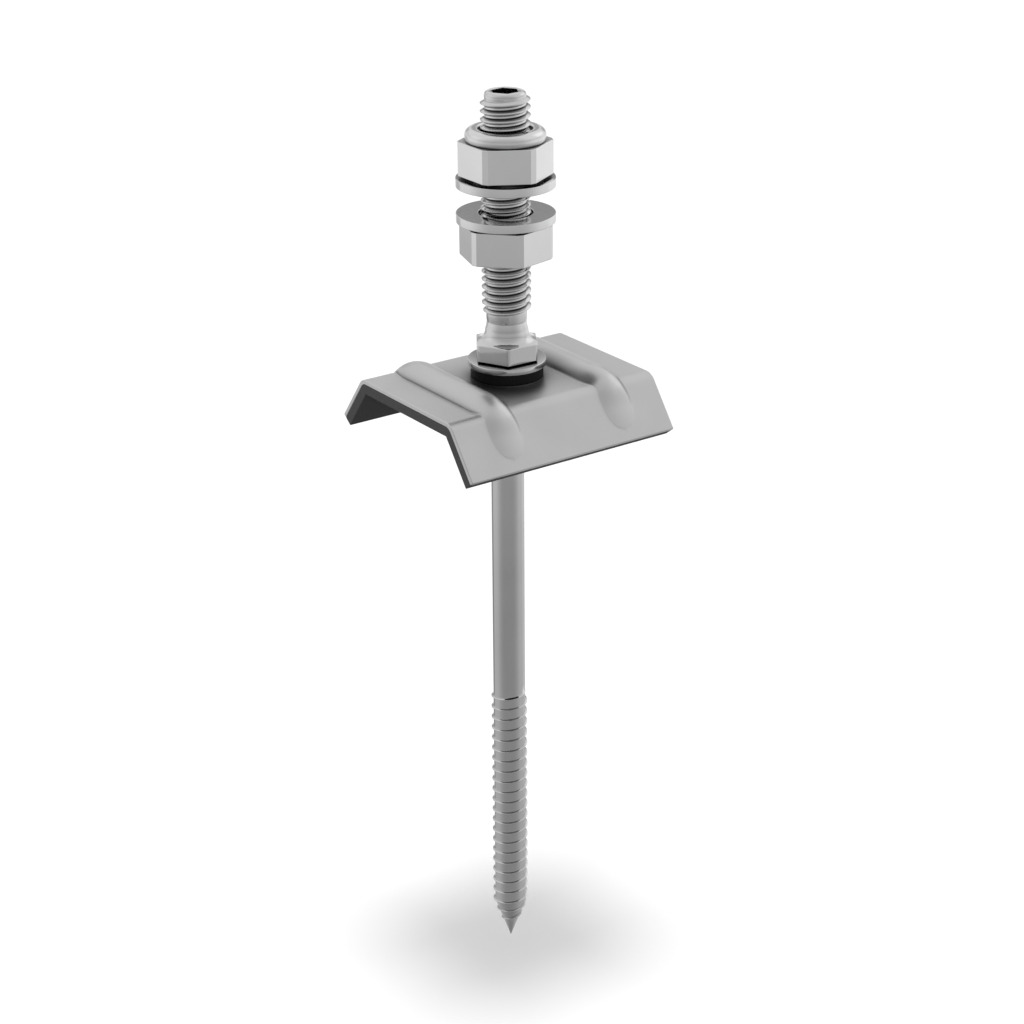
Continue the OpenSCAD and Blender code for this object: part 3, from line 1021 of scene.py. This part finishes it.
def make_lining():
    """Rubber lining under the whole saddle, with lightly rounded edges."""
    flush = SADDLE_END - LINING_EDGE
    rings = []
    for x in (-SADDLE_END, -flush, *LINING_RINGS, flush, SADDLE_END):
        inset = LINING_EDGE if abs(x) > flush else 0
        rings.append([(x, y, z) for y, z in lining_outline(inset)])
    skin = Skin()
    skin.close(*skin.loft(rings))
    piece = skin.build("rubber_lining")
    cut_with(piece, make_plug("hole_tool", LINING_HOLE_R, -PLUG_REACH, LINING_T + PLUG_REACH))
    shade(piece)
    return piece


# Materials: scales of noise count features in a millimetre
PATCH_SCALE = 0.12
GRAIN_SCALE = 1.6
GRAIN_STRETCH = (1, 1, 0.35)
RUBBER_SCALE = 2.5
NOISE_RANGE = (0.3, 0.7)
RUBBER_SPECULAR = 0.15
BUMP_STRENGTH = 0.5
# Tone left under full painted shade on the sheet, and how far the grain changes the roughness
SHEET_SHADE_TONE = 0.25
ROUGH_LESS = 0.01
ROUGH_MORE = 0.02
# Openness, which sets the painted shade, is sampled this often; a thread's grooves, whose flanks
# get painted shade, are looked for this near
AO_SAMPLES = 16
GROOVE_REACH = 0.9
GROOVE_RANGE = (0.62, 0.92)
FLANK_RANGE = (0.5, 0.75)


class Tree:
    """Node tree of a material or world, with its nodes added by short calls."""

    def __init__(self, owner):
        owner.use_nodes = True
        self.nodes = owner.node_tree.nodes
        self.links = owner.node_tree.links

    def fill(self, node, inputs):
        """Links or sets inputs of a node, by their names or numbers."""
        for key, value in inputs.items():
            if isinstance(value, bpy.types.NodeSocket):
                self.links.new(value, node.inputs[key])
            else:
                node.inputs[key].default_value = value

    def add(self, kind, output, inputs=None, **settings):
        """Output of a new node."""
        node = self.nodes.new(kind)
        for key, value in settings.items():
            setattr(node, key, value)
        self.fill(node, inputs or {})
        return node.outputs[output]

    def math(self, operation, *values):
        """Result of a calculation with one or two values."""
        inputs = dict(enumerate(values))
        return self.add("ShaderNodeMath", "Value", inputs, operation=operation)

    def spread(self, value, low, high, span=NOISE_RANGE, kind="LINEAR"):
        """A value's range span, turned into low to high."""
        start, end = span
        return self.add("ShaderNodeMapRange", "Result", {
            "Value": value, "From Min": start, "From Max": end, "To Min": low, "To Max": high,
        }, interpolation_type=kind)


class Shader(Tree):
    """Node tree of one procedural material."""

    def __init__(self, name):
        self.material = bpy.data.materials.new(name)
        super().__init__(self.material)
        self.surface = self.nodes["Principled BSDF"]
        self.place = self.add("ShaderNodeTexCoord", "Object")

    def noise(self, scale, detail, rough=0.5, stretch=(1, 1, 1)):
        """Noise value around 0.5, stretched along the axes."""
        place = self.add("ShaderNodeMapping", "Vector", {"Vector": self.place, "Scale": stretch})
        return self.add("ShaderNodeTexNoise", "Fac", {
            "Vector": place, "Scale": scale / MM, "Detail": detail, "Roughness": rough,
        })

    def openness(self, reach):
        """Share of open directions within a reach in millimetres."""
        inputs = {"Distance": reach * MM}
        return self.add("ShaderNodeAmbientOcclusion", "AO", inputs, samples=AO_SAMPLES)

    def mix(self, share, a, b, kind="RGBA", way="MIX"):
        """Mix of two colours or values, by the share of b."""
        inputs = {"Factor": share, "A": a, "B": b}
        return self.add("ShaderNodeMix", "Result", inputs, data_type=kind, blend_type=way)

    def times(self, colour, value):
        """Colour scaled by a value."""
        return self.mix(1.0, colour, value, way="MULTIPLY")

    def bump(self, value, depth):
        """Surface relief of a depth in millimetres."""
        return self.add("ShaderNodeBump", "Normal", {
            "Strength": BUMP_STRENGTH, "Distance": depth * MM, "Height": value,
        })

    def finished(self, inputs):
        """The material, once inputs of its surface are linked or set."""
        self.fill(self.surface, inputs)
        return self.material


def grey(value):
    """Neutral grey of bare metal, a trace cooler than plain."""
    return (value, value, value * 1.005, 1)


def steel(name, tone, rough, reach, deep, nearly_open, closed=0.15, grain=0.2, flank_shade=0.0):
    """Bare steel with faint patches in its tone and fine grain in its sheen.

    It is darkened by painted shade: to the share deep in gaps narrower than reach,
    from the openness nearly_open down to closed; along the painted shade stored on
    the mesh; and on a thread's flanks by a given share, painted in place of their
    dark reflections.
    """
    shader = Shader(name)
    patches = shader.noise(PATCH_SCALE, 3.0)
    fine = shader.noise(GRAIN_SCALE, 4.0, 0.55, GRAIN_STRETCH)
    patchy = shader.spread(shader.mix(grain, patches, fine, "FLOAT"), 0, 1)
    metal = shader.mix(patchy, grey(tone[0]), grey(tone[1]))
    # Painted shade in narrow gaps, by their openness
    gap_shade = shader.spread(shader.openness(reach), deep, 1.0, (closed, nearly_open))
    # Painted shade along the saddle's creases and inner bead feet, stored on its mesh
    sheet_shade = shader.add("ShaderNodeAttribute", "Fac", attribute_name="painted_shade")
    metal = shader.times(metal, gap_shade)
    metal = shader.times(metal, shader.spread(sheet_shade, 1.0, SHEET_SHADE_TONE, (0.0, 1.0)))
    # Painted shade on the thread's flanks
    if flank_shade:
        metal = shader.times(metal, thread_flank_shade(shader, flank_shade))
    return shader.finished({
        "Base Color": metal,
        "Metallic": 1.0,
        "Roughness": shader.spread(fine, rough - ROUGH_LESS, rough + ROUGH_MORE),
    })


def thread_flank_shade(shader, depth):
    """Share of the tone left under painted shade on a thread's flanks in its grooves, on faces
    that look up or down; it stands in for their dark reflections.
    """
    normal = shader.add("ShaderNodeNewGeometry", "Normal")
    upward = shader.add("ShaderNodeSeparateXYZ", "Z", {"Vector": normal})
    tilted = shader.spread(shader.math("ABSOLUTE", upward), 0.0, depth, FLANK_RANGE)
    narrow = shader.spread(shader.openness(GROOVE_REACH), 1.0, 0.0, GROOVE_RANGE)
    return shader.spread(shader.math("MULTIPLY", tilted, narrow), 1.0, 0.0, (0.0, 1.0))


def rubber(name, dark, light, rough, relief):
    """Matte rubber or nylon with a fine grain."""
    shader = Shader(name)
    grain = shader.noise(RUBBER_SCALE, 5.0, 0.6)
    return shader.finished({
        "Base Color": shader.mix(shader.spread(grain, 0, 1), (*dark, 1), (*light, 1)),
        "Roughness": rough,
        "Specular IOR Level": RUBBER_SPECULAR,
        "Normal": shader.bump(grain, relief),
    })


def make_materials():
    """Materials by slot of the record."""
    return {
        # Every steel gets painted shade in its narrow gaps, and the screw on its thread flanks
        "screw_steel": steel(
            "screw steel", (0.59, 0.63), rough=0.07, reach=0.8, deep=0.3, nearly_open=0.4,
            flank_shade=0.88,
        ),
        "nut_steel": steel(
            "nut steel", (0.67, 0.71), rough=0.17, reach=1.2, deep=0.06, nearly_open=0.8,
        ),
        "washer_steel": steel(
            "washer steel", (0.63, 0.67), rough=0.12, reach=1.2, deep=0.10, nearly_open=0.8,
        ),
        "disc_steel": steel(
            "disc steel", (0.55, 0.60), rough=0.12, reach=4.0, deep=0.35, nearly_open=0.95,
        ),
        # The saddle's long reach paints shade over the plate around the seal and between the beads
        "saddle_metal": steel(
            "saddle sheet", (0.56, 0.59), rough=0.36, reach=12.0, deep=0.12, nearly_open=0.95,
            closed=0.42, grain=0.1,
        ),
        "seal_rubber": rubber(
            "seal rubber", (0.004, 0.004, 0.004), (0.008, 0.008, 0.008), 0.55, 0.03
        ),
        "lining_rubber": rubber(
            "lining rubber", (0.082, 0.082, 0.082), (0.102, 0.102, 0.102), 0.6, 0.03
        ),
        "insert_nylon": rubber(
            "insert nylon", (0.008, 0.008, 0.009), (0.014, 0.014, 0.015), 0.4, 0.01
        ),
    }


# Each piece's function, body, CAD node and material slot
PIECES = (
    (make_screw, "bolt", "hanger_bolt", "screw_steel"),
    (make_lower_nut, "lower_nut", "lower_nut", "nut_steel"),
    (make_upper_nut, "upper_nut", "upper_nut", "nut_steel"),
    (make_lower_washer, "lower_washer", "lower_washer", "washer_steel"),
    (make_upper_washer, "upper_washer", "upper_washer", "washer_steel"),
    (make_insert, "upper_nut", "locking_insert", "insert_nylon"),
    (make_seal_disc, "bolt", "seal_washer", "disc_steel"),
    (make_seal_ring, "bolt", "seal_ring", "seal_rubber"),
    (make_saddle, "bolt", "saddle", "saddle_metal"),
    (make_lining, "bolt", "saddle_lining", "lining_rubber"),
)


def dress_pieces():
    """Builds every piece, with its material, on its body and in its node's place."""
    materials = make_materials()
    for make, body, node, slot in PIECES:
        piece = make()
        piece.data.materials.append(materials[slot])
        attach(piece, body)
        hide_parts(node)


# Surroundings: the camera's place and turn, then floor, light and room
VIEW_TURN = math.radians(35.205)
CAMERA_DISTANCE = 447.768
CAMERA_HEIGHT = 165.707
CAMERA_PITCH = math.radians(23.3287)
CAMERA_YAW = math.radians(-0.1074)
CAMERA_ROLL = math.radians(-0.3612)
LENS = 81.76
SENSOR = 36.0
CLIP_START = 10.0
# Half the floor's side, its depth under the point, its tone and the light it gives
FLOOR_HALF = 2000.0
FLOOR_DROP = 0.2
FLOOR_TONE = 0.8
FLOOR_LIFT = 0.08
SUN_ANGLE = math.radians(14)
SUN_ENERGY = 1.45
SUN_HEIGHT = 500.0
# Brightness of the room that shiny metal shows, by height of the direction from
# straight down (-1) to straight up (1)
ROOM_LEVELS = (
    (-1.0, 0.30), (-0.75, 0.52), (-0.50, 0.58), (-0.42, 0.62), (-0.26, 0.97),
    (0.0, 0.90), (0.26, 0.72), (0.36, 0.90), (0.7, 0.90), (1.0, 0.80),
)
# Share of that brightness on the camera's side, and where the change to it lies
FRONT_SHARE = 0.60
FRONT_RANGE = (-0.1, 0.85)
# Softer and darker fields of the room: direction to the right, away and up, half
# width in degrees, and brightness added; FIELD_CORE of the width is at its full
ROOM_FIELDS = (
    ((0.67, 0.61, 0.41), 26, 0.35),
    ((-0.92, 0.20, 0.33), 26, 0.10),
    ((0.0, 0.9636, 0.2672), 6, -0.45),
    ((0.75, 0.60, -0.28), 20, 0.10),
    ((-0.557, 0.778, -0.292), 20, -0.35),
    ((-0.29, 0.95, 0.10), 12, -0.30),
    ((0.29, 0.95, 0.10), 12, -0.35),
)
FIELD_CORE = 0.3
# Strength of the plain light from above and from below, and where it changes
HIGH_LEVEL = 0.8
LOW_LEVEL = 0.12
LOW_RANGE = (-0.3, 0.0)


def make_camera():
    """Camera of the picture; its axes are laid out in a frame whose x runs to the right."""
    cos_w, sin_w = math.cos(CAMERA_YAW), math.sin(CAMERA_YAW)
    cos_p, sin_p = math.cos(CAMERA_PITCH), math.sin(CAMERA_PITCH)
    cos_r, sin_r = math.cos(CAMERA_ROLL), math.sin(CAMERA_ROLL)
    right = Vector((cos_w, sin_w, 0))
    up = Vector((-sin_w * sin_p, cos_w * sin_p, cos_p))
    forward = Vector((-sin_w * cos_p, cos_w * cos_p, -sin_p))
    axes = (cos_r * right + sin_r * up, cos_r * up - sin_r * right, -forward)
    pose = Matrix(axes).transposed().to_4x4()
    pose.translation = Vector((0, -CAMERA_DISTANCE, CAMERA_HEIGHT)) * MM
    data = bpy.data.cameras.new("camera")
    data.lens = LENS
    data.sensor_width = SENSOR
    data.clip_start = CLIP_START * MM
    camera = place_in_scene("camera", data)
    camera.matrix_world = Matrix.Rotation(-VIEW_TURN, 4, "Z") @ pose
    bpy.context.scene.camera = camera


def make_floor():
    """Wide floor under the point, white to the camera where no shadow falls."""
    side = FLOOR_HALF * MM
    z = (SCREW_TIP - FLOOR_DROP) * MM
    corners = [(-side, -side, z), (side, -side, z), (side, side, z), (-side, side, z)]
    mesh = bpy.data.meshes.new("floor")
    mesh.from_pydata(corners, [], [(0, 1, 2, 3)])
    floor = place_in_scene("floor", mesh)
    floor.data.materials.append(Shader("floor white").finished({
        "Base Color": (FLOOR_TONE, FLOOR_TONE, FLOOR_TONE, 1),
        "Roughness": 1.0,
        "Specular IOR Level": 0.0,
        "Emission Color": (1, 1, 1, 1),
        "Emission Strength": FLOOR_LIFT,
    }))
    floor.visible_diffuse = False
    floor.visible_glossy = False


def view_direction(right, away, up):
    """Direction in the part's frame from one given as the camera sees it."""
    turned = Matrix.Rotation(-VIEW_TURN, 4, "Z") @ Vector((right, away, up))
    return turned.normalized()


class Sky(Tree):
    """Node tree of the world, whose values follow the direction looked in."""

    def __init__(self, world):
        super().__init__(world)
        self.nodes.clear()
        self.place = self.add("ShaderNodeTexCoord", "Generated")

    def toward(self, direction):
        """How near the direction looked in is to another: 1 along it, -1 away from it."""
        inputs = {0: self.place, 1: direction}
        return self.add("ShaderNodeVectorMath", "Value", inputs, operation="DOT_PRODUCT")

    def eased(self, value, low, high, span):
        """A value's range span, turned into low to high with soft ends."""
        return self.spread(value, low, high, span, "SMOOTHSTEP")

    def ramp(self, value, levels):
        """Grey that follows a value from 0 to 1 through pairs of height and brightness."""
        colour = self.add("ShaderNodeValToRGB", "Color", {"Fac": value})
        stops = colour.node.color_ramp.elements
        while len(stops) < len(levels):
            stops.new(0.5)
        for stop, (at, level) in zip(stops, levels):
            stop.position = (at + 1) / 2
            stop.color = (level, level, level, 1)
        return colour

    def background(self, strength):
        """White light of a strength."""
        inputs = {"Color": (1, 1, 1, 1), "Strength": strength}
        return self.add("ShaderNodeBackground", "Background", inputs)

    def chosen(self, share, off, on):
        """One of two lights, by a share of 0 or 1."""
        return self.add("ShaderNodeMixShader", "Shader", {"Fac": share, 1: off, 2: on})


def room_brightness(sky, height):
    """Brightness of the room that shiny metal shows, dimmer on the camera's side."""
    levels = sky.ramp(sky.spread(height, 0.0, 1.0, (-1.0, 1.0)), ROOM_LEVELS)
    front = sky.eased(sky.toward(view_direction(0, -1, 0)), 1.0, FRONT_SHARE, FRONT_RANGE)
    room = sky.math("MULTIPLY", levels, front)
    for direction, half_width, added in ROOM_FIELDS:
        edge = math.cos(math.radians(half_width))
        core = math.cos(math.radians(half_width * FIELD_CORE))
        near = sky.toward(view_direction(*direction))
        room = sky.math("ADD", room, sky.eased(near, 0.0, added, (edge, core)))
    return room


def make_world():
    """White to the camera, a bright room to shiny metal and plain light to the rest."""
    world = bpy.data.worlds.new("studio")
    bpy.context.scene.world = world
    sky = Sky(world)
    height = sky.toward(Vector((0, 0, 1)))
    room = sky.background(room_brightness(sky, height))
    plain = sky.background(sky.eased(height, LOW_LEVEL, HIGH_LEVEL, LOW_RANGE))
    glossy = sky.add("ShaderNodeLightPath", "Is Glossy Ray")
    camera = sky.add("ShaderNodeLightPath", "Is Camera Ray")
    seen = sky.chosen(camera, sky.chosen(glossy, plain, room), sky.background(1.0))
    sky.fill(sky.nodes.new("ShaderNodeOutputWorld"), {"Surface": seen})


def make_sun():
    """Soft light from straight above, whose shadow lies under the saddle."""
    data = bpy.data.lights.new("overhead light", "SUN")
    data.angle = SUN_ANGLE
    data.energy = SUN_ENERGY
    sun = place_in_scene("overhead light", data)
    sun.location = (0, 0, SUN_HEIGHT * MM)
    sun.visible_glossy = False


def main():
    """Dresses the frame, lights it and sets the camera."""
    dress_pieces()
    make_floor()
    make_world()
    make_sun()
    make_camera()
    bpy.context.scene.view_settings.view_transform = "Standard"


main()
